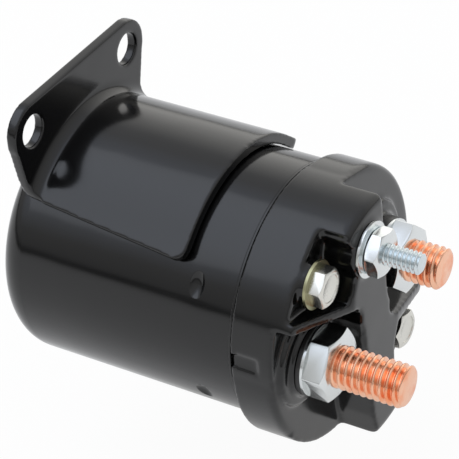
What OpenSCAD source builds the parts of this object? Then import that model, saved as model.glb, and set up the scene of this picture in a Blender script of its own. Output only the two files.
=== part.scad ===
// Starter solenoid relay for a small engine: a drawn steel can with a saddle bracket,
// a moulded cap with two copper power studs and one signal stud, and inside it the coil,
// the sprung plunger and the contact disc that bridges the power studs.
// X runs along the can towards the studs, Z up towards the bracket holes.
// The origin is midway between the bracket holes, on the face that bolts down.

/* [Can] */
// Outer diameter of the drawn can
can_d = 57.15; // [50:0.05:64]
// Sheet thickness of the can
can_wall = 1.2; // [0.8:0.1:1.6]
// Length from the closed end to the parting face of the cap
can_l = 60.1; // [58:0.1:66]
// Outer radius of the drawn corner at the closed end
can_corner_r = 7; // [5:0.5:8]
// Depth of each crimp dimple
crimp_depth = 0.9; // [0.5:0.1:1]
// Radius of the rim of the wheel that presses the dimples
crimp_tool_r = 2.2; // [1.8:0.1:2.4]
// Radius at which that rim runs round the wheel
crimp_wheel = 4; // [3.6:0.1:6]

/* [Bracket] */
// Sheet thickness of the bracket
bracket_t = 2.5; // [2:0.1:3]
// Distance between the two bolt holes
hole_span = 37; // [34:0.5:40]
// Diameter of the bolt holes
hole_d = 7.4; // [6.4:0.1:8]
// Height of the bolt holes above the saddle
hole_rise = 5.225; // [5:0.005:6]
// Radius of the ears round the bolt holes
ear_r = 6.7; // [6:0.1:7]
// Inner radius of the bend between flange and saddle
bend_r = 3; // [2:0.1:3.5]
// Half of the angle that the saddle wraps round the can at its rear end
saddle_half_angle = 46; // [44:0.5:48]
// Angle at which the saddle widens towards its front edge
saddle_flare = 5.6; // [3:0.1:6]
// Rounding of the saddle's front corners
saddle_corner_r = 3.6; // [2:0.1:5]
// Angle from the top at which the flange's sides would meet the can
flange_foot_angle = 48; // [46:0.5:50]
// Distance from the flange's bolting face to the saddle's front edge
saddle_l = 42; // [36:0.5:43]
// Distance from the flange's bolting face to the cap's parting face
flange_back = 54.4; // [52:0.1:55]
// Clearance between the saddle and the can
saddle_gap = 0.3; // [0.2:0.05:0.4]

/* [Cap] */
// Height of the central bridge above the parting face
bridge_h = 19.4; // [18.5:0.1:20.5]
// Height of the terraces round the power studs
terrace_h = 9.9; // [9.5:0.1:10.2]
// Height of the floors under the cap screws
screw_floor_h = 12.4; // [12:0.1:12.8]
// Rounding of the cap's outer front edge
cap_edge_r = 1.6; // [1:0.1:2]
// Depth of the contact chamber inside the cap
chamber_h = 7.2; // [7.2:0.05:7.4]
// Side wall round the contact chamber
chamber_wall = 3.4; // [2.8:0.1:3.6]
// Radius of the round pocket that takes a socket over each power nut
pocket_r = 10.2; // [10:0.1:10.4]
// Distance of the lower stud pocket's edge from the middle, near the rim
lower_foot = 2.2; // [1.8:0.1:3]
// Distance of the upper stud pocket's edge from the middle, near the rim
upper_foot = 3.7; // [3:0.1:5]
// Angle at which the bridge's lower end turns aside past the rim
foot_turn = 16; // [8:1:20]
// Room between a socket and the rib beside it
pocket_room = 1; // [0.8:0.1:1.1]
// Rounding of the stud pocket's corner at the rib
pocket_corner_r = 4; // [3.6:0.1:4.4]
// Distance of that corner from the middle, along the rib
pocket_corner_out = 10.6; // [10.2:0.1:11]
// Thickness of the upper sloping rib
upper_rib_t = 2.3; // [1.8:0.1:2.6]
// Thickness of the lower sloping rib
lower_rib_t = 3.1; // [2.6:0.1:3.2]
// Height of the upper rib at the rim
upper_rib_h = 13.9; // [13:0.1:15]
// Height of the lower rib at the rim
lower_rib_h = 16.6; // [15:0.1:17]
// Distance from the middle at which the ribs start to fall
rib_top = 11; // [10:0.1:13]
// Tilt of the sloping ribs
rib_tilt = 11; // [9:1:13]
// Radius of the cap's skirt, which is set off to one side, as a share of the can's diameter
skirt_share = 0.546; // [0.54:0.002:0.55]
// How far the skirt's centre lies off the can's axis, as a share of the can's diameter
skirt_off_share = 0.075; // [0.06:0.001:0.08]
// Direction in which the skirt is set off
skirt_turn = 312.5; // [308:0.5:316]
// Rounding of the skirt's front edge
skirt_edge_r = 1.5; // [1:0.1:2]
// Rounding of the bridge's lower end
foot_edge_r = 2.4; // [1.6:0.1:3]
// Width of the locating recess on the cap's side
notch_w = 4.2; // [3.5:0.1:5]
// Depth of the locating recess
notch_depth = 0.6; // [0.3:0.1:0.8]
// Length of the locating recess
notch_l = 6.6; // [5.5:0.1:7.5]
// Direction of the locating recess
notch_turn = 179; // [176:1:181]
// Thickness of the cap's gasket
gasket_t = 0.5; // [0.4:0.1:0.7]
// Width of the cap's gasket
gasket_w = 2.2; // [1.6:0.1:2.3]

/* [Power studs] */
// Thread diameter of the power studs
stud_d = 9.525; // [9.3:0.005:9.7]
// Distance between the power studs, as a share of the can's diameter
stud_pitch_share = 0.558; // [0.554:0.001:0.562]
// How much thinner than its thread a stud's shank is, as a share of the thread
shank_share = 0.9; // [0.88:0.01:0.92]
// Angle of the line through the power studs
stud_turn = 13.6; // [12:0.2:15]
// Height of the longer stud's tip above the parting face
long_tip = 34.8; // [31:0.1:37]
// Height of the shorter stud's tip above the parting face
short_tip = 27.9; // [25:0.1:30]
// Chamfer on a power stud's tip
stud_chamfer = 1.1; // [0.8:0.1:1.4]
// Radius of a power stud's head in the chamber
stud_head_r = 7; // [6.4:0.1:7.3]
// Thickness of a power stud's head
stud_head_t = 2.5; // [2.2:0.05:2.5]
// Radius of the lower boss round a power stud
step_r = 11.2; // [10.8:0.1:11.6]
// Height of the lower boss
step_h = 1.4; // [1:0.1:1.6]
// Radius of the upper boss round a power stud
seat_r = 8.6; // [8.2:0.1:9]
// Height of the upper boss above the lower one
seat_h = 1.1; // [0.8:0.1:1.3]
// Radius of the insulating washers
insulator_r = 8.2; // [8:0.1:8.6]
// Thickness of the insulating washer on the longer stud
insulator_t = 0.9; // [0.6:0.1:1.2]
// Thickness of the insulating washer on the shorter stud
far_insulator_t = 2.1; // [1.6:0.1:2.4]
// Radius of the steel washers
washer_r = 8; // [7.6:0.1:8.2]
// Thickness of the steel washers
washer_t = 0.7; // [0.5:0.1:1]
// Width across the flats of the power nuts
nut_af = 14.29; // [14:0.01:14.6]
// Thickness of the power nuts
nut_t = 5; // [4.5:0.1:5.6]
// Turn of the corners of the longer stud's nut
near_nut_turn = 26; // [0:1:60]
// Turn of the corners of the shorter stud's nut
far_nut_turn = 47; // [0:1:60]

/* [Signal stud] */
// Thread diameter of the signal stud
signal_d = 4.83; // [4.6:0.01:5]
// Sideways place of the signal stud, as a share of the can's diameter
signal_side_share = 0.061; // [0.056:0.001:0.066]
// Height of the signal stud above the can's axis, as a share of the can's diameter
signal_up_share = 0.3325; // [0.328:0.0005:0.337]
// Height of the signal stud's tip above the parting face
signal_tip = 32; // [29:0.5:34]
// Chamfer on the signal stud's tip
signal_chamfer = 0.5; // [0.3:0.1:0.8]
// Radius of the signal stud's boss
signal_boss_r = 6.3; // [6.2:0.1:6.5]
// Height of the signal stud's boss above the bridge
signal_boss_h = 0.5; // [0.3:0.1:0.9]
// Radius of the signal stud's head in the chamber
signal_head_r = 4.5; // [4:0.1:4.8]
// Thickness of the signal stud's head
signal_head_t = 2; // [1.6:0.1:2]
// Radius of the signal washer
signal_washer_r = 6.2; // [5.9:0.1:6.3]
// Thickness of the signal washer
signal_washer_t = 0.6; // [0.4:0.1:0.8]
// Radius of the signal lock washer
lock_r = 5.2; // [4.8:0.1:5.6]
// Thickness of the signal lock washer
lock_t = 0.4; // [0.3:0.1:0.6]
// Width across the flats of the signal nut
signal_af = 9.53; // [9:0.01:10]
// Thickness of the signal nut
signal_nut_t = 3.2; // [2.8:0.1:3.6]
// Turn of the signal nut's corners
signal_turn = 18; // [0:1:60]

/* [Cap screws] */
// Thread diameter of the cap screws
screw_d = 4.83; // [4.6:0.01:5]
// Distance of the cap screws from the can's axis, as a share of the can's diameter
screw_out_share = 0.4165; // [0.413:0.0005:0.42]
// Direction of the cap screws
screw_turn = 134.7; // [133:0.1:136]
// Radius of the seat boss under a screw
screw_seat_r = 4.5; // [4.2:0.1:4.7]
// Height of the seat boss under a screw
screw_seat_h = 1.8; // [1.4:0.1:2.2]
// Radius of a screw's washer
screw_washer_r = 5.4; // [5:0.1:5.7]
// Thickness of a screw's washer
screw_washer_t = 0.65; // [0.5:0.05:0.9]
// Width across the flats of a screw's head
screw_af = 7.94; // [7.6:0.01:8.2]
// Thickness of a screw's head
screw_head_t = 3; // [2.6:0.1:3.4]
// Turn of the screw heads' corners
screw_head_turn = 18; // [0:1:60]
// Radius of the round inner wall of a screw's pocket
screw_pocket_r = 12; // [11.6:0.1:12.2]
// How far that wall's centre lies outside the screw
screw_pocket_off = 3.3; // [3:0.1:3.6]
// Radius of the cap's inner column round a screw
screw_column_r = 4.8; // [4.5:0.1:5]

/* [Magnet and plunger] */
// Distance from the parting face to the pole plate
plate_back = 6.9; // [6.8:0.1:7.2]
// Thickness of the pole plate
plate_t = 5; // [4.6:0.1:5.4]
// Radius of the fixed pole and of the plunger
plunger_r = 8.9; // [8.6:0.05:9]
// Length of the fixed pole behind the plate
pole_l = 12; // [11:0.1:13]
// Clearance between the rubber bumper and the plunger at rest
rest_gap = 0.6; // [0.5:0.1:1.5]
// Full travel of the plunger
travel = 3.2; // [2.8:0.1:3.2]
// Air gap that is left at full travel
gap_left = 0.4; // [0.4:0.05:0.6]
// Wall of the guide tube
tube_wall = 0.5; // [0.4:0.1:0.6]
// Wall of the coil's bobbin
bobbin_wall = 1.4; // [1.2:0.1:1.6]
// Clearance between the bobbin's end flanges and the can
bobbin_gap = 1; // [0.8:0.1:1.4]
// Thickness of the rear flux washer
flux_t = 2.4; // [2:0.1:2.5]
// How far the winding stays below the bobbin's end flanges
winding_margin = 1; // [0.8:0.1:3]
// Radius of the push rod
rod_r = 2.2; // [2:0.05:2.3]
// Thickness of the rubber bumper
bumper_t = 4.4; // [4:0.1:4.5]
// Radius of the rubber bumper
bumper_r = 8; // [7:0.1:8.6]

/* [Contacts and springs] */
// Clearance between the contact disc and the columns round the screws
disc_clear = 0.4; // [0.3:0.05:0.6]
// Thickness of the contact disc
disc_t = 2; // [1.8:0.1:2.1]
// Gap between the contact disc and the stud heads at rest
contact_gap = 2.4; // [2.3:0.1:2.5]
// Radius of the insulating bush in the disc
bush_r = 3.6; // [3.4:0.1:3.8]
// Radius of the bush's flange
bush_flange_r = 6; // [5.5:0.1:6.4]
// Thickness of the bush's flange
bush_flange_t = 1.4; // [1.2:0.1:1.5]
// Radius of the rod's collar
collar_r = 5; // [4.8:0.1:5.4]
// Thickness of the rod's collar
collar_t = 1.2; // [1:0.1:1.3]
// Thickness of the insulating washer in front of the disc
front_washer_t = 1; // [0.8:0.1:1.1]
// Radius of the insulating washer in front of the disc
front_washer_r = 5.4; // [5:0.1:5.6]
// Thickness of the rod's retaining clip
clip_t = 0.8; // [0.6:0.1:0.9]
// Radius of the rod's retaining clip
clip_r = 4; // [3.6:0.1:4.4]
// Wire diameter of the contact spring
contact_wire = 0.7; // [0.6:0.05:0.75]
// Mean radius of the contact spring
contact_spring_r = 4; // [3.8:0.05:4.2]
// Wire diameter of the return spring
return_wire = 0.8; // [0.6:0.05:0.9]
// Mean radius of the return spring
return_spring_r = 3.8; // [3.6:0.05:3.9]
// Radius of the spring pocket in the fixed pole
spring_pocket_r = 5; // [4.8:0.05:5.2]
// Depth of the spring pocket in the fixed pole
spring_pocket_h = 8; // [7.5:0.1:8.5]
// Radius of a coil lead
lead_r = 0.6; // [0.5:0.05:0.8]
// Distance of the coil leads from the contact chamber's side wall
lead_margin = 3.375; // [3.125:0.125:3.625]

/* [Hidden] */

// Overrun of every cut past the face that it opens
over = 1;
// Small clearance between pieces that are assembled by hand
fit = 0.1;
// Clearance between pieces that slide on each other
slide = 0.3;
// Round face on the end of a nut or a screw head, as a share of the width across the flats
hex_face_share = 0.95;
// Overlap that welds the flange to its bend
weld = 0.3;
// Gap between a nut and the thread that is left free in front of it
thread_gap = 0.3;
// Facets of the round surfaces
$fn = 72;

can_r = can_d / 2;
bore_r = can_r - can_wall;
crimp_back = plate_back + plate_t / 2;
crimp_out = can_r + crimp_wheel + crimp_tool_r - crimp_depth;
crimp_turns = [30, 150, 209, 330];
// The crimps bulge into the can, and the pole plate has a notch for each bulge
bulge_r = crimp_tool_r + can_wall;
bulge_in = crimp_out - crimp_wheel - bulge_r;
notch_half = asin((crimp_wheel + bulge_r) / can_d);
saddle_in = can_r + saddle_gap;
saddle_out = saddle_in + bracket_t;
bend_top = saddle_out + bend_r;
bend_x = -flange_back + bracket_t + bend_r;
hole_h = saddle_out + hole_rise;
flange_half = hole_span / 2 + ear_r;
far = 2 * can_r;

stud_out = stud_pitch_share * can_r;
stud_y = stud_out * cos(stud_turn);
stud_z = stud_out * sin(stud_turn);
stud_seat = terrace_h + step_h + seat_h;
near_nut_x = stud_seat + insulator_t + washer_t;
far_nut_x = stud_seat + far_insulator_t + washer_t;
contact_x = chamber_h - stud_head_t;

signal_y = -signal_side_share * can_d;
signal_z = signal_up_share * can_d;
signal_seat = bridge_h + signal_boss_h;
signal_nut_x = signal_seat + signal_washer_t + lock_t;

screw_out = screw_out_share * can_d;
screw_y = screw_out * cos(screw_turn);
screw_z = screw_out * sin(screw_turn);
screw_seat = screw_floor_h + screw_seat_h;

// The ribs run beside the socket pockets and fall from the bridge towards the rim
rib_foot = -stud_y * sin(rib_tilt) - stud_z * cos(rib_tilt) + pocket_r + pocket_room;
corner_y = rib_foot - pocket_corner_r;
rib_wall_turn = 112;

skirt_r = skirt_share * can_d;
skirt_y = skirt_off_share * can_d * cos(skirt_turn);
skirt_z = skirt_off_share * can_d * sin(skirt_turn);

disc_r = screw_out - screw_column_r - disc_clear;
disc_x = contact_x - contact_gap - disc_t;
bush_x = disc_x - bush_flange_t;
collar_x = -plate_back + slide + fit;
front_washer_x = disc_x + disc_t;
clip_x = front_washer_x + front_washer_t;
rod_tip = clip_x + clip_t + fit;

plate_x = -plate_back - plate_t;
pole_x = plate_x - pole_l;
plunger_front = pole_x - travel - gap_left;
tube_in = plunger_r + slide;
tube_out = tube_in + tube_wall;
bobbin_in = tube_out + fit;
bobbin_r = bore_r - bobbin_gap;
winding_r = bobbin_r - winding_margin;
bobbin_tube = bobbin_in + bobbin_wall;
floor_x = -can_l + can_wall;
plunger_x = floor_x + bumper_t + rest_gap;
flux_x = floor_x + can_corner_r - can_wall - flux_t;
bobbin_x = flux_x + flux_t;
bobbin_front = plate_x;
rod_end = (plunger_x + plunger_front) / 2;
lead_out = can_r - chamber_wall - lead_margin;

// Places a piece that is drawn on the can's axis, with the parting face at zero
module seated() translate([flange_back, 0, -hole_h]) children();

// A round bar along X
module bar(r, x0, x1, y = 0, z = 0) {
    translate([x0, y, z]) rotate([0, 90, 0]) cylinder(r = r, h = x1 - x0);
}

// A flat shape in Y and Z, extruded along X
module slab(x0, x1) {
    translate([x0, 0, 0]) rotate([90, 0, 90]) linear_extrude(x1 - x0) children();
}

// A profile of radius and X, turned round the can's axis
module turned() rotate([0, 90, 0]) rotate_extrude() children();

// The same profile, swept over the top of the can only
module arched(half_angle) {
    rotate([0, 90, 0]) rotate([0, 0, 180 - half_angle]) rotate_extrude(angle = 2 * half_angle) children();
}

// A ring along X
module ring(r_in, r_out, x0, x1, y = 0, z = 0) {
    difference() {
        bar(r_out, x0, x1, y, z);
        bar(r_in, x0 - over, x1 + over, y, z);
    }
}

// A hexagon bar with its corners turned off at the far end, or at both ends
module hex_piece(af, x0, x1, turn, y, z, both) {
    corner_r = af / 2 / cos(30);
    face_r = af / 2 * hex_face_share;
    outer = corner_r + over;
    drop = (outer - face_r) * tan(30);
    foot = both ? [[face_r, x0], [outer, x0 + drop]] : [[outer, x0]];
    intersection() {
        translate([x0, y, z]) rotate([turn, 0, 0]) rotate([0, 90, 0]) cylinder(r = corner_r, h = x1 - x0, $fn = 6);
        translate([0, y, z]) turned() polygon(concat([[0, x0]], foot, [[outer, x1 - drop], [face_r, x1], [0, x1]]));
    }
}

// Both ends of a pattern that repeats half a turn round the axis
module both_sides() for (a = [0, 180]) rotate([a, 0, 0]) children();

// A wire wound round X between two flat ends, as one unbroken tube
function wound(r, wire, x0, x1, turns, k) =
    let (a = 360 * turns * k, run = x1 - x0 - wire)
    [x0 + wire / 2 + run * k, r * cos(a), r * sin(a)];
module spring(r, wire, x0, x1, turns) {
    sides = 6;
    steps = turns * 12;
    points = [for (i = [0:steps]) let (c = wound(r, wire, x0, x1, turns, i / steps), a = 360 * turns * i / steps)
        for (j = [0:sides - 1]) let (b = 360 * j / sides)
            [c[0] + wire / 2 * sin(b), c[1] + wire / 2 * cos(b) * cos(a), c[2] + wire / 2 * cos(b) * sin(a)]];
    walls = [for (i = [0:steps - 1]) for (j = [0:sides - 1])
        let (p = i * sides + j, q = i * sides + (j + 1) % sides) each
            [[p, q, q + sides], [p, q + sides, p + sides]]];
    caps = [for (j = [1:sides - 2]) each
        [[0, j + 1, j], [steps * sides, steps * sides + j, steps * sides + j + 1]]];
    polyhedron(points, concat(walls, caps));
}

// Deep drawn steel cup that holds the coil; the crimps push its wall into the pole plate
module can() {
    color("black") seated() difference() {
        union() {
            difference() {
                turned() cup_profile(can_r, can_corner_r, -can_l);
                turned() cup_profile(bore_r, can_corner_r - can_wall, floor_x, over);
            }
            intersection() {
                crimps(bulge_r);
                bar(can_r - can_wall / 2, -crimp_back - bulge_r, -crimp_back + bulge_r);
            }
        }
        crimps(crimp_tool_r);
    }
}
module crimps(r) {
    for (a = crimp_turns) rotate([a - 90, 0, 0]) translate([-crimp_back, 0, crimp_out])
        turned() translate([crimp_wheel, 0]) circle(r = r);
}
module cup_profile(r, corner, x0, past = 0) {
    square_from(0, x0, r - corner, past - x0 - gasket_t);
    square_from(0, x0 + corner, r, past - x0 - corner - gasket_t);
    translate([r - corner, x0 + corner]) circle(r = corner);
}
module square_from(r0, x0, w, h) translate([r0, x0]) square([w, h]);

// Pressed bracket: a saddle that is welded over the can, bent up into a flange with two ears
module mounting_bracket() {
    flange_x = -flange_back;
    color("black") seated() {
        difference() {
            union() {
                arched(90) square_from(saddle_in, bend_x, bracket_t, saddle_l - bracket_t - bend_r);
                intersection() {
                    arched(90) translate([bend_top, bend_x]) intersection() {
                        difference() {
                            circle(r = bend_r + bracket_t);
                            circle(r = bend_r);
                        }
                        translate([-bend_top, -bend_top]) square(bend_top);
                    }
                    slab(flange_x, bend_x) flange_outline();
                }
            }
            for (s = [0, 1]) mirror([0, s, 0]) rotate([-saddle_half_angle, 0, 0]) linear_extrude(far) saddle_side();
        }
        difference() {
            slab(flange_x, flange_x + bracket_t) flange_outline();
            bar(bend_top - weld, flange_x - over, flange_x + bracket_t + over);
            for (s = [-1, 1]) bar(hole_d / 2, flange_x - over, flange_x + bracket_t + over, s * hole_span / 2, hole_h);
        }
    }
}
module saddle_side() {
    front_x = saddle_l - flange_back;
    round_x = front_x - saddle_corner_r;
    round_y = (round_x - bend_x) * tan(saddle_flare) - saddle_corner_r / cos(saddle_flare);
    translate([bend_x, 0]) rotate(saddle_flare) translate([-far, 0]) square([2 * far, far]);
    difference() {
        translate([round_x, round_y]) square(far);
        translate([round_x, round_y]) circle(r = saddle_corner_r);
    }
}
module flange_outline() {
    foot_y = saddle_in * sin(flange_foot_angle);
    foot_z = saddle_in * cos(flange_foot_angle);
    for (s = [-1, 1]) translate([s * hole_span / 2, hole_h]) circle(r = ear_r);
    polygon([[-hole_span / 2, hole_h + ear_r], [-flange_half, hole_h], [-foot_y, foot_z],
        [foot_y, foot_z], [flange_half, hole_h], [hole_span / 2, hole_h + ear_r]]);
}

// Moulded cap: a bridge between two stud pockets, with sloping ribs and a skirt set off to one side
module end_cap() {
    color("#26262a") seated() difference() {
        union() {
            difference() {
                union() {
                    turned() cap_profile(can_r, bridge_h, cap_edge_r);
                    intersection() {
                        set_off() cap_profile(skirt_r, bridge_h, foot_edge_r);
                        slab(0, bridge_h) polygon([[0, 0], [-far, -far], [far, -far]]);
                    }
                }
                stud_pocket(lower_foot, foot_turn);
                rotate([180, 0, 0]) stud_pocket(upper_foot, 0);
                screw_pocket(upper_rib_t);
                rotate([180, 0, 0]) screw_pocket(lower_rib_t);
                both_sides() bar(screw_washer_r + fit, screw_seat - fit, bridge_h + over, screw_y, screw_z);
                rib_slope(upper_rib_t, upper_rib_h);
                rotate([180, 0, 0]) rib_slope(lower_rib_t, lower_rib_h);
            }
            set_off() cap_profile(skirt_r, terrace_h, skirt_edge_r);
            intersection() {
                bar(can_r, 0, bridge_h);
                both_sides() {
                    bar(step_r, 0, terrace_h + step_h, -stud_y, -stud_z);
                    bar(screw_seat_r, 0, screw_seat, screw_y, screw_z);
                }
            }
            both_sides() bar(seat_r, 0, stud_seat, -stud_y, -stud_z);
            bar(signal_boss_r, 0, signal_seat, signal_y, signal_z);
        }
        difference() {
            bar(can_r - chamber_wall, -over, chamber_h);
            both_sides() bar(screw_column_r, -2 * over, chamber_h + over, screw_y, screw_z);
        }
        bar(front_washer_r + slide, -over, rod_tip + travel + over);
        both_sides() bar(stud_d / 2 + fit, 0, stud_seat + over, -stud_y, -stud_z);
        both_sides() bar(screw_d / 2 + fit, -over, screw_seat + over, screw_y, screw_z);
        bar(signal_d / 2 + fit, 0, signal_seat + over, signal_y, signal_z);
        rotate([notch_turn, 0, 0]) translate([-over, can_r - notch_depth, -notch_w / 2])
            cube([notch_l + over, notch_depth + over, notch_w]);
    }
}
module set_off() translate([0, skirt_y, skirt_z]) turned() children();
module cap_profile(r, h, edge) {
    square_from(0, 0, r, h - edge);
    square_from(0, 0, r - edge, h);
    translate([r - edge, h - edge]) circle(r = edge);
}
module stud_pocket(foot, turn) {
    foot_y = (far - bore_r) * tan(turn) - foot;
    slab(terrace_h, bridge_h + over) {
        translate([-stud_y, -stud_z]) circle(r = pocket_r);
        polygon([[-stud_y + pocket_r, -stud_z], [-foot, -bore_r], [foot_y, -far], [-far, -far],
            [-far, 0], [-stud_y, 0]]);
        rotate(-rib_tilt) {
            translate([-pocket_corner_out, corner_y]) circle(r = pocket_corner_r);
            translate([-far, -far]) square([far - pocket_corner_out, far + rib_foot]);
        }
    }
}
module screw_pocket(rib_t) {
    wall = [cos(rib_wall_turn), sin(rib_wall_turn)];
    centre = [screw_y - screw_pocket_off, screw_z];
    slab(screw_floor_h, bridge_h + over) intersection() {
        union() {
            translate(centre) circle(r = screw_pocket_r);
            polygon([centre, bore_r * wall, far * wall, [-far, far], [-far, 0], [centre[0], 0]]);
        }
        rotate(-rib_tilt) translate([-far, rib_foot + rib_t]) square(2 * far);
    }
}
module rib_slope(rib_t, rim_h) {
    rotate([-rib_tilt, 0, 0]) translate([0, 0, rib_foot - over]) linear_extrude(rib_t + 2 * over)
        polygon([[bridge_h, -rib_top], [rim_h, -can_r], [rim_h, -far], [bridge_h + over, -far],
            [bridge_h + over, -rib_top]]);
}

// Flat gasket between the can's rim and the cap
module cap_gasket() {
    color("dimgray") seated() ring(can_r - gasket_w, can_r, -gasket_t, 0);
}

// Copper studs with flat heads that the contact disc meets; their threads aren't cut here
module power_stud(tip, nut_x, y, z) {
    color("#c8703c") seated() {
        bar(stud_head_r, contact_x, chamber_h, y, z);
        translate([0, y, z]) turned() shank(stud_d / 2, nut_x + nut_t + thread_gap, tip, stud_chamfer);
    }
}
module shank(r, thread_x, tip, chamfer) {
    thin_r = r * shank_share;
    polygon([[0, chamber_h - fit], [thin_r, chamber_h - fit], [thin_r, thread_x], [r, thread_x],
        [r, tip - chamfer], [r - chamfer, tip], [0, tip]]);
}
module battery_stud() power_stud(long_tip, near_nut_x, -stud_y, -stud_z);
module motor_stud() power_stud(short_tip, far_nut_x, stud_y, stud_z);

// Zinc plated nuts, washers and the black insulating washers on the power studs
module power_nut(x, turn, y, z) {
    difference() {
        hex_piece(nut_af, x, x + nut_t, turn, y, z, false);
        bar(stud_d / 2 * shank_share + fit, x - over, x + nut_t + over, y, z);
    }
}
module power_nuts() {
    color("lightsteelblue") seated() {
        power_nut(near_nut_x, near_nut_turn, -stud_y, -stud_z);
        power_nut(far_nut_x, far_nut_turn, stud_y, stud_z);
    }
}
module power_washers() {
    color("silver") seated() {
        ring(stud_d / 2 + fit, washer_r, near_nut_x - washer_t, near_nut_x, -stud_y, -stud_z);
        ring(stud_d / 2 + fit, washer_r, far_nut_x - washer_t, far_nut_x, stud_y, stud_z);
    }
}
module insulating_washers() {
    color("#1a1a1c") seated() {
        ring(stud_d / 2 + fit, insulator_r, stud_seat, near_nut_x - washer_t, -stud_y, -stud_z);
        ring(stud_d / 2 + fit, insulator_r, stud_seat, far_nut_x - washer_t, stud_y, stud_z);
    }
}

// Signal stud with its washer, toothed lock washer and nut
module signal_stud() {
    color("slategray") seated() {
        bar(signal_head_r, chamber_h - signal_head_t, chamber_h, signal_y, signal_z);
        translate([0, signal_y, signal_z]) turned()
            shank(signal_d / 2, signal_nut_x + signal_nut_t + thread_gap, signal_tip, signal_chamfer);
    }
}
module signal_washer() {
    color("silver") seated()
        ring(signal_d / 2 + fit, signal_washer_r, signal_seat, signal_seat + signal_washer_t, signal_y, signal_z);
}
module signal_lock_washer() {
    color("gray") seated()
        ring(signal_d / 2 + fit, lock_r, signal_nut_x - lock_t, signal_nut_x, signal_y, signal_z);
}
module signal_nut() {
    color("lightsteelblue") seated() difference() {
        hex_piece(signal_af, signal_nut_x, signal_nut_x + signal_nut_t, signal_turn, signal_y, signal_z, true);
        bar(signal_d / 2 * shank_share + fit, signal_nut_x - over, signal_nut_x + signal_nut_t + over,
            signal_y, signal_z);
    }
}

// Hexagon head screws that draw the cap down onto the pole plate
module cap_screws() {
    head_x = screw_seat + screw_washer_t;
    color("silver") seated() for (s = [-1, 1]) {
        hex_piece(screw_af, head_x, head_x + screw_head_t, screw_head_turn, s * screw_y, s * screw_z, false);
        bar(screw_d / 2, plate_x + fit, head_x, s * screw_y, s * screw_z);
    }
}
module cap_screw_washers() {
    color("darkkhaki") seated() for (s = [-1, 1])
        ring(screw_d / 2 + fit, screw_washer_r, screw_seat, screw_seat + screw_washer_t, s * screw_y, s * screw_z);
}

// Steel pole plate with the fixed pole that draws the plunger in
module pole_piece() {
    color("gray") seated() difference() {
        union() {
            bar(bore_r - fit, plate_x, -plate_back);
            bar(plunger_r, pole_x, -plate_back);
        }
        bar(rod_r + slide, pole_x - over, -plate_back + over);
        bar(spring_pocket_r, pole_x - over, pole_x + spring_pocket_h);
        both_sides() bar(screw_d / 2 + fit, plate_x - over, -plate_back + over, screw_y, screw_z);
        bar(lead_r + slide, plate_x - over, -plate_back + over, lead_y(), lead_z());
        for (a = crimp_turns) rotate([a - 90, 0, 0])
            arched(notch_half) square_from(bulge_in - fit, plate_x - over, can_wall + crimp_tool_r, plate_t + 2 * over);
    }
}
function lead_y() = signal_y;
function lead_z() = sqrt(lead_out * lead_out - signal_y * signal_y);

// Brass tube that guides the plunger
module guide_tube() {
    color("goldenrod") seated() ring(tube_in, tube_out, flux_x + fit, plate_x - fit);
}

// Moulded bobbin, its winding and the two leads
module coil_bobbin() {
    color("ivory") seated() {
        ring(bobbin_in, bobbin_tube, bobbin_x, bobbin_front);
        ring(bobbin_in, bobbin_r, bobbin_x, bobbin_x + bobbin_wall);
        difference() {
            ring(bobbin_in, bobbin_r, bobbin_front - bobbin_wall, bobbin_front);
            both_sides() bar(lead_r + fit, bobbin_front - bobbin_wall - over, bobbin_front + over, lead_y(), lead_z());
        }
    }
}
module coil_winding() {
    color("peru") seated()
        ring(bobbin_tube + fit, winding_r, bobbin_x + bobbin_wall + fit, bobbin_front - bobbin_wall - fit);
}
module coil_leads() {
    start_x = bobbin_front - bobbin_wall - fit;
    color("peru") seated() {
        bar(lead_r, start_x, chamber_h - signal_head_t, lead_y(), lead_z());
        bar(lead_r, start_x, plate_x, -lead_y(), -lead_z());
    }
}

// Steel ring that closes the magnet's path behind the coil
module rear_flux_washer() {
    color("gray") seated() ring(tube_out + fit, bobbin_r, flux_x, flux_x + flux_t);
}

// Rubber cushion that the plunger rests on
module rubber_bumper() {
    color("#303030") seated() bar(bumper_r, floor_x, floor_x + bumper_t);
}

// Moving iron and the rod that it carries
module plunger() {
    color("lightgray") seated() difference() {
        bar(plunger_r, plunger_x, plunger_front);
        bar(rod_r, rod_end, plunger_front + over);
    }
}
module push_rod() {
    color("silver") seated() {
        bar(rod_r, rod_end, rod_tip);
        bar(collar_r, collar_x, collar_x + collar_t);
    }
}
module retaining_clip() {
    color("dimgray") seated() ring(rod_r, clip_r, clip_x, clip_x + clip_t);
}
module front_insulating_washer() {
    color("saddlebrown") seated() ring(rod_r, front_washer_r, front_washer_x, clip_x);
}

// Copper disc on its insulating bush, which slides on the rod
module contact_disc() {
    color("#c8703c") seated() ring(bush_r + fit, disc_r, disc_x, disc_x + disc_t);
}
module contact_bush() {
    color("saddlebrown") seated() difference() {
        union() {
            bar(bush_flange_r, bush_x, disc_x);
            bar(bush_r, bush_x, disc_x + disc_t - fit);
        }
        bar(rod_r + slide, bush_x - over, front_washer_x + over);
    }
}

// Springs: one presses the disc on the contacts, the other sends the plunger back
module contact_spring() {
    color("silver") seated() spring(contact_spring_r, contact_wire, collar_x + collar_t, bush_x, 3);
}
module return_spring() {
    color("silver") seated() spring(return_spring_r, return_wire, plunger_front, pole_x + spring_pocket_h, 6);
}

can();
mounting_bracket();
end_cap();
cap_gasket();
battery_stud();
motor_stud();
power_nuts();
power_washers();
insulating_washers();
signal_stud();
signal_nut();
signal_washer();
signal_lock_washer();
cap_screws();
cap_screw_washers();
pole_piece();
guide_tube();
coil_bobbin();
coil_winding();
coil_leads();
rear_flux_washer();
rubber_bumper();
plunger();
push_rod();
retaining_clip();
front_insulating_washer();
contact_disc();
contact_bush();
contact_spring();
return_spring();
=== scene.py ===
import math

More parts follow.
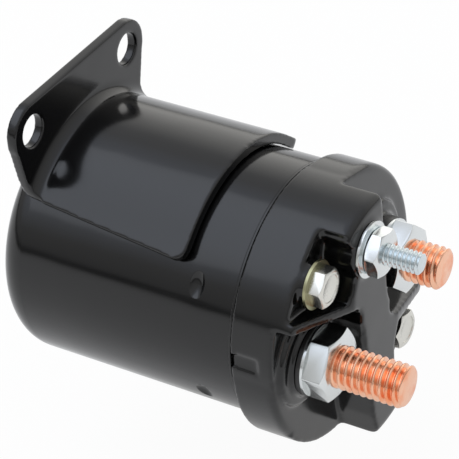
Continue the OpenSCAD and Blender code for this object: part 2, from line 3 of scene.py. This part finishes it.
import bpy
from mathutils import Matrix, Vector


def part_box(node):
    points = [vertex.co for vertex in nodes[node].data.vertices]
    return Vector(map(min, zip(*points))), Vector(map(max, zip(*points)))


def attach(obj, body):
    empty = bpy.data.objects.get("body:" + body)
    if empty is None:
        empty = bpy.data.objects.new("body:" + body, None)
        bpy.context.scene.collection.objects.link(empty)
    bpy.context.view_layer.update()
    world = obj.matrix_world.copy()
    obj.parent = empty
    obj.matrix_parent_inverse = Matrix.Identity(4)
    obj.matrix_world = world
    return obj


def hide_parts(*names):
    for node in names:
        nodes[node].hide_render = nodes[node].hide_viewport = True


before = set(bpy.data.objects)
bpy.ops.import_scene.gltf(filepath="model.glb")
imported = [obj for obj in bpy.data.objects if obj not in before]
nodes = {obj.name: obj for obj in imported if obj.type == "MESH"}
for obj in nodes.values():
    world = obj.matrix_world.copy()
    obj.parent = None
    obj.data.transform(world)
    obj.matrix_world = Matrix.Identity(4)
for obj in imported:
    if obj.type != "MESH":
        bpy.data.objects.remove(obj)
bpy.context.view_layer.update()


# Camera
# It stands half a metre from the studs' end, to the left of it and above it, with a long lens
# and turned a little about its own axis, as in the photograph.
MM = 0.001
camera_place = (263.70 * MM, -353.05 * MM, 270.76 * MM)
camera_azimuth, camera_elevation, camera_roll = -57.417, 35.331, -3.774
camera_data = bpy.data.cameras.new("camera")
camera_data.sensor_width = 36
camera_data.lens = 185.886
camera = bpy.data.objects.new("camera", camera_data)
bpy.context.scene.collection.objects.link(camera)
camera.matrix_world = (Matrix.Translation(camera_place)
                       @ Matrix.Rotation(math.radians(90 + camera_azimuth), 4, "Z")
                       @ Matrix.Rotation(math.radians(90 - camera_elevation), 4, "X")
                       @ Matrix.Rotation(math.radians(camera_roll), 4, "Z"))
bpy.context.scene.camera = camera
bpy.context.scene.view_settings.view_transform = "Standard"


# Studio
# A white table under the part and an even white room, as in a light tent, with one large
# cool lamp overhead. The dark seam where the table ends shows as a line along the can.
class Socket:
    """A shader value that adds its own Math nodes when Python works on it."""
    def __init__(self, shader, link):
        self.shader, self.link = shader, link

    def _math(self, operation, one, other):
        return self.shader.node("ShaderNodeMath", {"operation": operation}, {0: one, 1: other})

    def __add__(self, other):
        return self._math("ADD", self, other)

    def __radd__(self, other):
        return self._math("ADD", other, self)

    def __mul__(self, other):
        return self._math("MULTIPLY", self, other)

    def __rmul__(self, other):
        return self._math("MULTIPLY", other, self)

    def __gt__(self, other):
        return self._math("GREATER_THAN", self, other)

    def __lt__(self, other):
        return self._math("LESS_THAN", self, other)


class Shader:
    """The nodes of one material or of the world."""
    def __init__(self, owner):
        owner.use_nodes = True
        self.owner, self.tree = owner, owner.node_tree
        self.tree.nodes.clear()

    def node(self, kind, settings={}, inputs={}, output=0):
        """Adds a node with its settings, then the values or links of its sockets. Returns one output."""
        made = self.tree.nodes.new(kind)
        for name, value in settings.items():
            if name == "stops":
                self.set_stops(made.color_ramp, value)
            else:
                setattr(made, name, value)
        for name, value in inputs.items():
            if isinstance(value, Socket):
                self.tree.links.new(value.link, made.inputs[name])
            else:
                made.inputs[name].default_value = value
        return Socket(self, made.outputs[output]) if made.outputs else None

    def set_stops(self, ramp, stops):
        """Gives a colour ramp its stops, each a place with a grey level or a colour."""
        while len(ramp.elements) < len(stops):
            ramp.elements.new(0.5)
        for element, (place, tone) in zip(ramp.elements, stops):
            colour = tone if hasattr(tone, "__len__") else (tone, tone, tone)
            element.position = place
            element.color = (*colour, 1)

    def mix(self, share, first, second, how="MIX"):
        """Blends two colours."""
        return self.node("ShaderNodeMix", {"data_type": "RGBA", "blend_type": how},
                         {0: share, 6: first, 7: second}, output=2)


white = (1, 1, 1, 1)
window_way = (-0.47, -0.27, 0.84)
window_colour = (0.38, 0.46, 0.62, 1)
back_wall_colour = (0.95, 0.93, 0.88, 1)
ceiling_colour = (0.85, 0.87, 0.92)
table_tone, seam_tone = 0.8, 0.12
world = bpy.data.worlds.new("room")
bpy.context.scene.world = world
room = Shader(world)
way = room.node("ShaderNodeTexCoord", output="Generated")
up = room.node("ShaderNodeSeparateXYZ", {}, {0: way}, output="Z")
far_side = room.node("ShaderNodeSeparateXYZ", {}, {0: way}, output="Y")
surroundings = room.node("ShaderNodeValToRGB", {"stops": [
    (0.0, table_tone), (0.49, table_tone), (0.5, seam_tone), (0.514, seam_tone),
    (0.55, 0.5), (0.75, 0.72), (1.0, ceiling_colour)]}, {0: up * 0.5 + 0.5})
towards_window = room.node("ShaderNodeVectorMath", {"operation": "DOT_PRODUCT"}, {0: way, 1: window_way},
                           output="Value")
window = room.node("ShaderNodeValToRGB", {"stops": [(0.72, 0.0), (0.84, 0.55), (0.97, 1.0)]},
                   {0: towards_window})
back_wall = room.node("ShaderNodeValToRGB", {"stops": [(0.6, 0.0), (0.9, 1.0)]}, {0: far_side})
with_window = room.mix(window, surroundings, window_colour, "ADD")
with_back_wall = room.mix(back_wall * (up > 0.02), with_window, back_wall_colour, "ADD")
seen = room.node("ShaderNodeLightPath", output="Is Camera Ray")
glow = room.node("ShaderNodeBackground", {}, {0: room.mix(seen, with_back_wall, white), 1: 1.0})
room.node("ShaderNodeOutputWorld", {}, {0: glow})

table_width, table_height = 3, -95 * MM
bpy.ops.object.select_all(action="DESELECT")
bpy.ops.mesh.primitive_plane_add(size=table_width, location=(0, 0, table_height))
floor = bpy.context.object
floor.name = "floor"
table = Shader(bpy.data.materials.new("white_table"))
floor.data.materials.append(table.owner)
seen = table.node("ShaderNodeLightPath", output="Is Camera Ray")
mirrored = table.node("ShaderNodeLightPath", output="Is Glossy Ray")
cloth = table.node("ShaderNodeBsdfDiffuse", {}, {0: (0.9, 0.885, 0.86, 1)})
lit = table.node("ShaderNodeEmission", {}, {0: white, 1: 1.0})
cover = table.node("ShaderNodeMixShader", {}, {0: seen * 0.93 + mirrored * 0.35, 1: cloth, 2: lit})
table.node("ShaderNodeOutputMaterial", {}, {0: cover})

lamp_place = Vector((-0.57, -0.33, 1.0))
bpy.ops.object.light_add(type="AREA", location=lamp_place)
lamp = bpy.context.object
lamp.name = "overhead_lamp"
lamp.data.shape = "RECTANGLE"
lamp.data.size = 1.2
lamp.data.size_y = 1.0
lamp.data.energy = 2.5
lamp.data.color = (0.93, 0.96, 1.0)
lamp.rotation_euler = lamp_place.to_track_quat("Z", "Y").to_euler()


def finish(name, colour, roughness, metallic=0.0, coat=0.0, edge=0.2 * MM, spread=0.18, relief=0.1,
           grain=900.0, bands=None, stain=None, wave=0.0):
    """A material that is a little uneven in colour and gloss, with edges that catch the light.

    The edges are rounded by edge, and spread is how much the colour varies. Relief and grain are the
    height and the fineness of the roughness. Bands are the marks of turning or the turns of a wire,
    stain is a second colour in blotches, and wave is the height of a broad swell, as in thick paint.
    """
    shader = Shader(bpy.data.materials.new(name))
    place = shader.node("ShaderNodeTexCoord", output="Object")

    def noise(scale, detail):
        return shader.node("ShaderNodeTexNoise", {}, {"Vector": place, "Scale": scale, "Detail": detail})

    def bump(strength, distance, height, normal):
        return shader.node("ShaderNodeBump", {}, {
            "Strength": strength, "Distance": distance, "Height": height, "Normal": normal})

    patches = noise(90.0, 5.0)
    darker = (*[level * (1 - spread) for level in colour], 1)
    lighter = (*[min(1, level * (1 + spread)) for level in colour], 1)
    skin = shader.mix(patches, darker, lighter)
    if stain:
        blotches = shader.node("ShaderNodeValToRGB", {"stops": [(0.46, 0.0), (0.68, 1.0)]},
                               {0: noise(260.0, 4.0)})
        skin = shader.mix(blotches * 0.75, skin, (*stain, 1))
    height = noise(grain, 3.0)
    if bands:
        rings = shader.node("ShaderNodeTexWave", {"bands_direction": "X", "wave_profile": "SIN"}, {
            "Vector": place, "Scale": bands, "Distortion": 0.3})
        height = rings * 3.0 + height
    normal = shader.node("ShaderNodeBevel", {"samples": 6}, {"Radius": edge})
    if wave:
        normal = bump(1.0, wave, noise(75.0, 1.0), normal)
    surface = shader.node("ShaderNodeBsdfPrincipled", {}, {
        "Base Color": skin, "Roughness": patches * (0.5 * roughness) + 0.75 * roughness,
        "Metallic": metallic, "Coat Weight": coat, "Coat Roughness": 0.03,
        "Normal": bump(relief, 0.05 * MM, height, normal)})
    shader.node("ShaderNodeOutputMaterial", {}, {0: surface})
    return shader.owner


def dress(name, material):
    """Gives a CAD node its material."""
    nodes[name].data.materials.clear()
    nodes[name].data.materials.append(material)


dress("can", finish("gloss_black_paint", (0.0016, 0.0016, 0.0018), 0.13, edge=0.25 * MM, relief=0.03,
                    grain=400.0, wave=0.12 * MM))


# Mounting bracket
# Pressed from 2.5 mm sheet: a saddle welded over the can and a flange bent up from it,
# with two bolt holes. It is painted together with the can.
def select_only(piece):
    """Leaves one piece selected and active."""
    bpy.ops.object.select_all(action="DESELECT")
    bpy.context.view_layer.objects.active = piece
    piece.select_set(True)


def move_mesh(piece, matrix):
    """Puts a piece in its place, with its object left at the origin."""
    piece.matrix_world = matrix
    select_only(piece)
    bpy.ops.object.transform_apply(location=True, rotation=True, scale=True)


def turn_on_axis(piece, degrees):
    """Moves a piece made round the origin to the can's axis, turned about that axis."""
    move_mesh(piece, Matrix.Translation((0, 0, axis_z)) @ Matrix.Rotation(math.radians(degrees), 4, "X")
              @ piece.matrix_world)
    return piece


def pick(piece, rule, kind="FACE"):
    """Goes into edit mode with only the faces, edges or vertices selected whose middle fits the rule."""
    bpy.ops.object.mode_set(mode="EDIT")
    bpy.ops.mesh.select_mode(type=kind)
    bpy.ops.mesh.select_all(action="DESELECT")
    bpy.ops.object.mode_set(mode="OBJECT")
    mesh = piece.data
    if kind == "VERT":
        for vertex in mesh.vertices:
            vertex.select = rule(vertex.co)
    elif kind == "EDGE":
        for edge in mesh.edges:
            edge.select = rule((mesh.vertices[edge.vertices[0]].co + mesh.vertices[edge.vertices[1]].co) / 2)
    else:
        for face in mesh.polygons:
            face.select = rule(face.center)
    bpy.ops.object.mode_set(mode="EDIT")


def combine(piece, other, how):
    """Joins two closed pieces, cuts one with the other, or keeps what they share."""
    select_only(piece)
    step = piece.modifiers.new("combine", "BOOLEAN")
    step.operation, step.solver, step.object = how, "EXACT", other
    bpy.ops.object.modifier_apply(modifier="combine")
    bpy.data.objects.remove(other)
    return piece


def copy_of(name, new_name):
    """A CAD node's mesh as a piece of its own, with its triangles joined."""
    piece = nodes[name].copy()
    piece.data = nodes[name].data.copy()
    piece.name = new_name
    bpy.context.scene.collection.objects.link(piece)
    select_only(piece)
    bpy.ops.object.mode_set(mode="EDIT")
    bpy.ops.mesh.select_all(action="SELECT")
    bpy.ops.mesh.remove_doubles(threshold=0.001 * MM)
    bpy.ops.object.mode_set(mode="OBJECT")
    return piece


def soften(piece, voxel, rounds, sharp_below=None):
    """Rounds edges and corners a little, as paint or a mould does. Below a height they stay sharp."""
    select_only(piece)
    grid = piece.modifiers.new("grid", "REMESH")
    grid.mode, grid.voxel_size = "VOXEL", voxel
    bpy.ops.object.modifier_apply(modifier="grid")
    rub = piece.modifiers.new("rub", "SMOOTH")
    rub.factor, rub.iterations = 0.5, rounds
    if sharp_below:
        soft = piece.vertex_groups.new(name="soft")
        soft.add([v.index for v in piece.data.vertices if v.co.x > sharp_below], 1.0, "REPLACE")
        rub.vertex_group = "soft"
    bpy.ops.object.modifier_apply(modifier="rub")
    bpy.ops.object.shade_smooth()


def settle(piece, material, node):
    """Gives a new piece its material, hangs it on the body, and hides the CAD node that it takes the place
    of.
    """
    piece.data.materials.clear()
    piece.data.materials.append(material)
    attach(piece, "body")
    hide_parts(node)


axis_z = -36.6 * MM
can_radius = 28.575 * MM
saddle_radius = can_radius + 0.3 * MM
sheet_thickness = 2.5 * MM
wing_angle = 40
wing_root = -0.6 * MM
wing_start, width_at_start = 5.2 * MM, 3.3 * MM
wing_end, width_at_end = 42 * MM, 6.9 * MM
wing_corner = 2.8 * MM
cut_start, cut_length = 5.5 * MM, 60 * MM
cut_bottom, cut_width = 5 * MM, 40 * MM


def saddle_wing(side):
    """One of the flat wings along the saddle's sides, which stand off the can."""
    bpy.ops.object.select_all(action="DESELECT")
    bpy.ops.mesh.primitive_plane_add(size=MM)
    wing = bpy.context.object
    outline = ((wing_start, wing_root), (wing_end, wing_root),
               (wing_start, width_at_start), (wing_end, width_at_end))
    for vertex, (x, y) in zip(wing.data.vertices, outline):
        vertex.co = (x, side * y, saddle_radius)
    pick(wing, lambda middle: middle.x > wing_end - MM and abs(middle.y) > width_at_end - MM, "VERT")
    bpy.ops.mesh.bevel(offset=wing_corner, segments=8, affect="VERTICES")
    bpy.ops.mesh.select_all(action="SELECT")
    bpy.ops.mesh.extrude_region_move(TRANSFORM_OT_translate={"value": (0, 0, sheet_thickness)})
    bpy.ops.mesh.select_all(action="SELECT")
    bpy.ops.mesh.normals_make_consistent(inside=False)
    bpy.ops.object.mode_set(mode="OBJECT")
    return turn_on_axis(wing, -side * wing_angle)


# The round saddle is cut off beyond the wings' angle on both sides, and each wing takes the place.
sheet = copy_of("mounting_bracket", "bracket_sheet")
for side in (-1, 1):
    bpy.ops.object.select_all(action="DESELECT")
    bpy.ops.mesh.primitive_cube_add(
        size=1, scale=(cut_length, cut_width, cut_width),
        location=(cut_start + cut_length / 2, side * cut_width / 2, cut_bottom + cut_width / 2))
    combine(sheet, turn_on_axis(bpy.context.object, -side * wing_angle), "DIFFERENCE")
    combine(sheet, saddle_wing(side), "UNION")
soften(sheet, 0.3 * MM, 14)
bracket_paint = finish("bracket_paint", (0.0016, 0.0016, 0.0018), 0.14, edge=0.3 * MM, relief=0.03,
                       grain=400.0, wave=0.12 * MM)
settle(sheet, bracket_paint, "mounting_bracket")


# Bumper and flux ring
# A rubber cushion glued into the bottom of the can stops the plunger, and a turned steel
# ring round it carries the magnetism from the can to the plunger.
dress("rubber_bumper", finish("black_rubber", (0.016, 0.016, 0.017), 0.6, grain=1500.0, relief=0.3))
turned_steel = finish("turned_steel", (0.46, 0.46, 0.47), 0.32, metallic=1.0, bands=1400.0, relief=0.15)
dress("rear_flux_washer", turned_steel)


# Coil
# Enamelled copper wire in layers on a moulded nylon bobbin, slipped over a drawn brass
# tube. One lead goes to the signal stud and the other to the pole plate.
dress("coil_bobbin", finish("natural_nylon", (0.74, 0.70, 0.60), 0.42, grain=700.0))
enamel = finish("enamelled_wire", (0.46, 0.16, 0.055), 0.25, metallic=0.7, coat=0.8, bands=900.0, relief=0.9)
dress("coil_winding", enamel)
dress("coil_leads", enamel)
dress("guide_tube", finish("drawn_brass", (0.80, 0.60, 0.27), 0.24, metallic=1.0, grain=1300.0))


# Plunger and rod
# The plunger is soft iron with the steel rod pressed into it, and a clip at the rod's tip.
# Two springs of music wire send it back and press the contact disc home.
dress("plunger", finish("soft_iron", (0.40, 0.40, 0.41), 0.36, metallic=1.0, bands=1100.0, relief=0.12))
dress("push_rod", turned_steel)
dress("retaining_clip", finish("phosphated_steel", (0.09, 0.09, 0.095), 0.45, metallic=0.8, grain=1600.0))
spring_wire = finish("spring_wire", (0.55, 0.55, 0.57), 0.25, metallic=1.0, grain=1500.0)
dress("return_spring", spring_wire)
dress("contact_spring", spring_wire)


# Pole plate
# A steel plate with the fixed pole in one piece. The crimps of the can hold it, and the
# cap screws go into it.
dress("pole_piece", turned_steel)


# Contact disc
# Stamped from hard copper. It floats on a fibre bush and under a fibre washer, so that it
# stays apart from the rod.
copper = finish("bright_copper", (0.93, 0.53, 0.36), 0.22, metallic=1.0, edge=0.1 * MM, spread=0.1,
                stain=(0.90, 0.27, 0.10), relief=0.12, grain=1400.0)
dress("contact_disc", copper)
fibre = finish("pressed_fibre", (0.10, 0.055, 0.035), 0.5, grain=1200.0, relief=0.25)
dress("contact_bush", fibre)
dress("front_insulating_washer", fibre)


# Gasket and cap
# The cap is moulded from black phenolic resin, with room for a socket round each power
# nut. A flat rubber gasket seals it on the can, and its edge is painted with the can.
dress("cap_gasket", finish("painted_rubber", (0.004, 0.004, 0.004), 0.16, grain=1200.0, relief=0.1))
cap_black = finish("black_moulding", (0.004, 0.004, 0.004), 0.14, edge=0.3 * MM, relief=0.05, grain=500.0,
                   wave=0.1 * MM)
cap = copy_of("end_cap", "moulded_cap")
rim_end = 55.2 * MM
soften(cap, 0.38 * MM, 16, rim_end)
# The rim gets the can's radius back, which the grid leaves a little uneven.
for vertex in cap.data.vertices:
    height = vertex.co.z - axis_z
    reach = math.hypot(vertex.co.y, height)
    if vertex.co.x < rim_end + 0.1 * MM and 28.2 * MM < reach < 28.6 * MM:
        vertex.co.y *= can_radius / reach
        vertex.co.z = height * can_radius / reach + axis_z
settle(cap, cap_black, "end_cap")


# Power studs
# Copper with rolled 3/8-16 threads, and a flat head that the contact disc meets. They are
# put in from inside before the cap goes on.
def bar(radius, start, end, sides=96):
    """A round bar along Z, or a prism."""
    bpy.ops.object.select_all(action="DESELECT")
    bpy.ops.mesh.primitive_cylinder_add(vertices=sides, radius=radius, depth=end - start,
                                        location=(0, 0, (start + end) / 2))
    bpy.ops.object.transform_apply(location=True)
    return bpy.context.object


def round_end(piece, height, width, steps=1):
    """Bevels the rim at one end of a bar."""
    pick(piece, lambda middle: abs(middle.z - height) < 0.001 * MM)
    bpy.ops.mesh.bevel(offset=width, segments=steps, affect="EDGES")
    bpy.ops.object.mode_set(mode="OBJECT")


def thread(radius, pitch, depth, start, end):
    """The closed body of a right-hand screw thread along Z. It overruns both ends."""
    turns = math.ceil((end - start) / pitch) + 2
    foot = start - 1.5 * pitch
    bpy.ops.object.select_all(action="DESELECT")
    bpy.ops.mesh.primitive_plane_add(size=MM, location=(radius - depth, 0, foot))
    piece = bpy.context.object
    bpy.ops.object.transform_apply(location=True)
    bpy.ops.object.mode_set(mode="EDIT")
    bpy.ops.mesh.select_mode(type="VERT")
    bpy.ops.mesh.select_all(action="SELECT")
    bpy.ops.mesh.merge(type="CENTER")
    # The profile of one turn, in steps outwards and along: up a flank, over the crest and down.
    rise = ((0.13, 0.06), (0.52, 0.17), (0.25, 0.10), (0.10, 0.09))
    fall = [(-out, along) for out, along in reversed(rise)]
    crest, root = (0, 0.06), (0, 0.10)
    for out, along in (*rise, crest, *fall, root):
        bpy.ops.mesh.extrude_region_move(TRANSFORM_OT_translate={"value": (out * depth, 0, along * pitch)})
    bpy.ops.object.mode_set(mode="OBJECT")
    winding = piece.modifiers.new("winding", "SCREW")
    winding.screw_offset, winding.iterations = pitch, turns
    winding.steps = winding.render_steps = 48
    bpy.ops.object.modifier_apply(modifier="winding")
    bpy.ops.object.mode_set(mode="EDIT")
    bpy.ops.mesh.select_all(action="SELECT")
    bpy.ops.mesh.remove_doubles(threshold=0.002 * MM)
    # The edges round each open end are drawn together, which closes it.
    middle = foot + turns * pitch / 2
    for side in (-1, 1):
        bpy.ops.mesh.select_mode(type="EDGE")
        bpy.ops.mesh.select_all(action="DESELECT")
        bpy.ops.mesh.select_non_manifold()
        bpy.ops.object.mode_set(mode="OBJECT")
        for edge in piece.data.edges:
            height = sum(piece.data.vertices[i].co.z for i in edge.vertices) / 2
            edge.select = edge.select and (height - middle) * side > 0
        bpy.ops.object.mode_set(mode="EDIT")
        bpy.ops.mesh.extrude_region_move(TRANSFORM_OT_translate={"value": (0, 0, 0)})
        bpy.ops.mesh.merge(type="CENTER")
    bpy.ops.mesh.select_all(action="SELECT")
    bpy.ops.mesh.normals_make_consistent(inside=False)
    bpy.ops.object.mode_set(mode="OBJECT")
    return piece


def stud(radius, pitch, depth, chamfer, face, head_radius, head_thickness, thread_start, tip):
    """A headed stud along Z, from the face of its head to its tip."""
    piece = thread(radius, pitch, depth, thread_start, tip)
    blank = bar(radius + 0.01 * MM, thread_start, tip)
    round_end(blank, tip, chamfer, 3)
    combine(piece, blank, "INTERSECT")
    shank = bar(radius * 0.9, face + head_thickness / 2, thread_start + 0.5 * MM)
    head = bar(head_radius, face, face + head_thickness)
    round_end(head, face, 0.3 * MM, 2)
    return combine(piece, combine(shank, head, "UNION"), "UNION")


def axis_of(name):
    """The middle of a CAD node across X."""
    low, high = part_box(name)
    return (low[1] + high[1]) / 2, (low[2] + high[2]) / 2


def stand(piece, name, y, z, turn, material, slot, node):
    """Lays a piece that was made along Z into its place along X, and hides the CAD node that it takes the
    place of.
    """
    piece.name = name
    move_mesh(piece, Matrix.Translation((0, y, z)) @ Matrix.Rotation(math.radians(turn), 4, "X")
              @ Matrix.Rotation(math.radians(90), 4, "Y"))
    bpy.ops.object.shade_smooth_by_angle(angle=math.radians(38))
    settle(piece, material, node)


inch = 25.4 * MM
stud_radius, stud_pitch, thread_depth = 3 / 16 * inch, inch / 16, 0.93 * MM
near_nut_top, far_nut_top = 73.4 * MM, 74.6 * MM
for name, nut_top in (("battery_stud", near_nut_top), ("motor_stud", far_nut_top)):
    low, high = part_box(name)
    piece = stud(stud_radius, stud_pitch, thread_depth, chamfer=1.0 * MM, face=low[0], head_radius=7 * MM,
                 head_thickness=2.5 * MM, thread_start=nut_top - 2.5 * MM, tip=high[0])
    stand(piece, name + "_threaded", *axis_of(name), 20, copper, "copper", name)


# Washers on the power studs
# A black fibre washer insulates each stud from the cap, and a thin zinc plated steel washer
# lies on it, under the nut.
dress("insulating_washers", finish("black_fibre", (0.014, 0.0135, 0.013), 0.3, edge=0.3 * MM, grain=800.0))
zinc = finish("bright_zinc", (0.71, 0.735, 0.735), 0.2, metallic=1.0, edge=0.15 * MM, spread=0.07,
              relief=0.08, grain=1100.0)
dress("power_washers", zinc)


# Power nuts
# Cold formed steel hexagons, 9/16 in across the flats, with one turned face and bright zinc
# plating. They pull the studs' heads against the inside of the cap.
def hexagon(across, bottom, top, bore, both_faces=False, mouth=0.5 * MM):
    """A hexagon nut or head along Z with its corners turned off, and a countersunk bore."""
    piece = bar(across / 2 / math.cos(math.radians(30)), bottom, top, 6)
    pick(piece, lambda middle: bottom + 0.01 * MM < middle.z < top - 0.01 * MM, "EDGE")
    bpy.ops.mesh.bevel(offset=0.15 * MM, segments=2, affect="EDGES")
    bpy.ops.object.mode_set(mode="OBJECT")
    rim, flat = across * 0.62, across * 0.475
    drop = (rim - flat) * math.tan(math.radians(30))
    cone = bar(rim, bottom, top)
    for end in ([top, bottom] if both_faces else [top]):
        pick(cone, lambda middle: abs(middle.z - end) < 0.001 * MM)
        bpy.ops.mesh.inset(thickness=rim - flat)
        pick(cone, lambda middle: abs(middle.z - end) < 0.001 * MM and middle.xy.length > flat + 0.05 * MM,
             "VERT")
        bpy.ops.transform.translate(value=(0, 0, -drop if end == top else drop))
        bpy.ops.object.mode_set(mode="OBJECT")
    combine(piece, cone, "INTERSECT")
    if bore:
        combine(piece, bar(bore, bottom - MM, top + MM), "DIFFERENCE")
        sink = bar(bore + mouth, top - mouth, top + mouth)
        pick(sink, lambda middle: middle.z < top - mouth / 2)
        bpy.ops.transform.resize(value=(bore / (bore + mouth),) * 3, center_override=(0, 0, top - mouth))
        bpy.ops.object.mode_set(mode="OBJECT")
        combine(piece, sink, "DIFFERENCE")
    return piece


nut_across, nut_thickness, nut_bore = 14.29 * MM, 5 * MM, 4.3 * MM
for name, on_stud, nut_top, turn in (("near_power_nut", "battery_stud", near_nut_top, 56),
                                     ("far_power_nut", "motor_stud", far_nut_top, 17)):
    nut = hexagon(nut_across, nut_top - nut_thickness, nut_top, nut_bore)
    stand(nut, name, *axis_of(on_stud), turn, zinc, "zinc", "power_nuts")


# Signal stud
# A plated steel no. 10 stud through the cap's small boss, held by a flat washer, a thin
# lock washer and a small nut.
signal_zinc = finish("dull_zinc", (0.66, 0.72, 0.74), 0.25, metallic=1.0, edge=0.1 * MM, spread=0.12)
small_radius, signal_pitch, small_depth = 2.415 * MM, 1.03 * MM, 0.55 * MM
low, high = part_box("signal_stud")
nut_low, nut_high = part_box("signal_nut")
piece = stud(small_radius, signal_pitch, small_depth, chamfer=0.5 * MM, face=low[0], head_radius=4.5 * MM,
             head_thickness=2 * MM, thread_start=nut_low[0] + 1.5 * MM, tip=high[0])
stand(piece, "signal_stud_threaded", *axis_of("signal_stud"), 0, signal_zinc, "zinc", "signal_stud")
small_across, small_bore, small_mouth = 9.53 * MM, 2.2 * MM, 0.35 * MM
nut = hexagon(small_across, nut_low[0], nut_high[0], small_bore, both_faces=True, mouth=small_mouth)
stand(nut, "small_nut", *axis_of("signal_stud"), 48, zinc, "zinc", "signal_nut")
dress("signal_washer", zinc)
dress("signal_lock_washer", signal_zinc)


# Cap screws
# Hexagon head machine screws with yellow plated washers and a shallow dish in each head.
# They pass through the cap into the pole plate.
screw_zinc = finish("pale_zinc", (0.68, 0.67, 0.62), 0.26, metallic=1.0, edge=0.12 * MM, spread=0.12)
screw_circle, screw_angle = 23.8 * MM, math.radians(134.7)
screw_across, screw_pitch = 7.94 * MM, 1.058 * MM
dish_radius, dish_depth = 3.1 * MM, 0.25 * MM
low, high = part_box("cap_screws")
tip, top = low[0], high[0]
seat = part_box("cap_screw_washers")[1][0]
shaft_end = seat + 0.4 * MM
for name, side in (("cap_screw_upper", 1), ("cap_screw_lower", -1)):
    y = side * screw_circle * math.cos(screw_angle)
    z = side * screw_circle * math.sin(screw_angle) + axis_z
    head = hexagon(screw_across, seat, top, bore=0)
    dish = bar(dish_radius, top - dish_depth, top + MM)
    round_end(dish, top - dish_depth, 0.24 * MM, 2)
    combine(head, dish, "DIFFERENCE")
    shaft = thread(small_radius, screw_pitch, small_depth, tip, shaft_end)
    blank = bar(small_radius + 0.015 * MM, tip, shaft_end)
    round_end(blank, tip, 0.5 * MM)
    combine(shaft, blank, "INTERSECT")
    combine(head, shaft, "UNION")
    stand(head, name, y, z, 48, screw_zinc, "zinc", "cap_screws")
dress("cap_screw_washers", finish("yellow_zinc", (0.36, 0.35, 0.21), 0.3, metallic=1.0, edge=0.1 * MM,
                                  spread=0.2))
